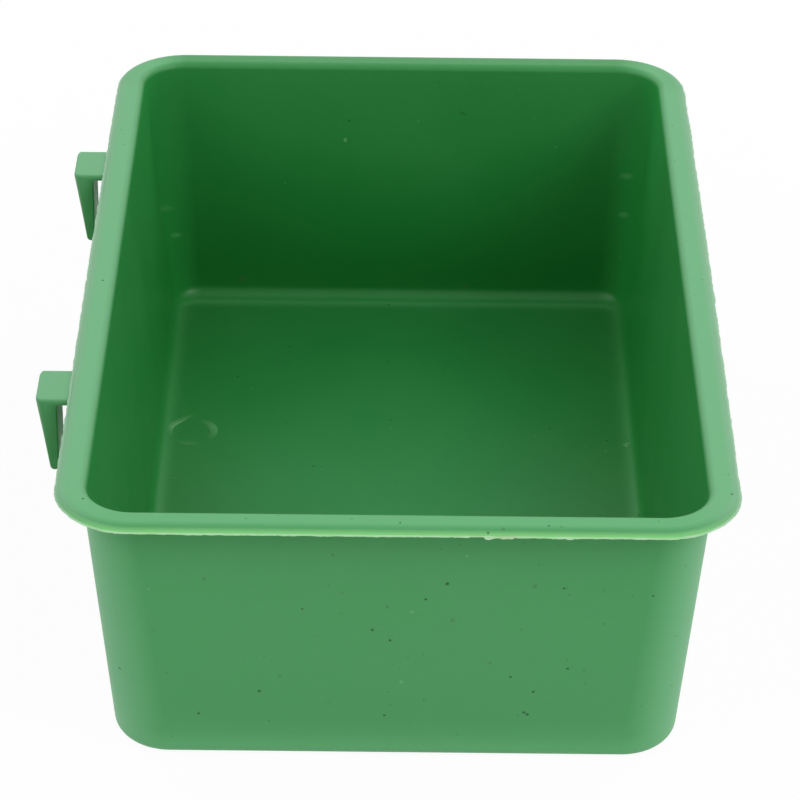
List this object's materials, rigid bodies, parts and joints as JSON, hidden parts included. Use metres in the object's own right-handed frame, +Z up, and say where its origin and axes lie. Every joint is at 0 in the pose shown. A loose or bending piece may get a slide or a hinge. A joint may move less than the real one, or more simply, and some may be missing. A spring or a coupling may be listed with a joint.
{
  "type": "cage bird bath",
  "caption": "Open rectangular plastic tub with a flanged rim and clip-on hooks along one long side, hung on cage wires or stood on a floor as a bath for birds.",
  "frame": {"origin": "centre of the tub's flat underside, on the surface it stands on", "axes": "+Z up, Y along the long sides of the tub, hooks on the -X side"},
  "size_m": [0.1163, 0.171, 0.0508],
  "materials": {
    "tub_plastic": "satin moulded polypropylene, mid green, faintly translucent",
    "hook_plastic": "satin moulded polypropylene, mid green"
  },
  "bodies": {
    "tub": {"tub": "tub_plastic"},
    "front_hook": {"front_hook": "hook_plastic"},
    "rear_hook": {"rear_hook": "hook_plastic"}
  },
  "joints": [
    {"name": "front_hook_slide", "type": "slide", "parent": "tub", "child": "front_hook", "axis": [0, 0, -1], "range_m": [0, 0.0095]},
    {"name": "rear_hook_slide", "type": "slide", "parent": "tub", "child": "rear_hook", "axis": [0, 0, -1], "range_m": [0, 0.0095]}
  ]
}
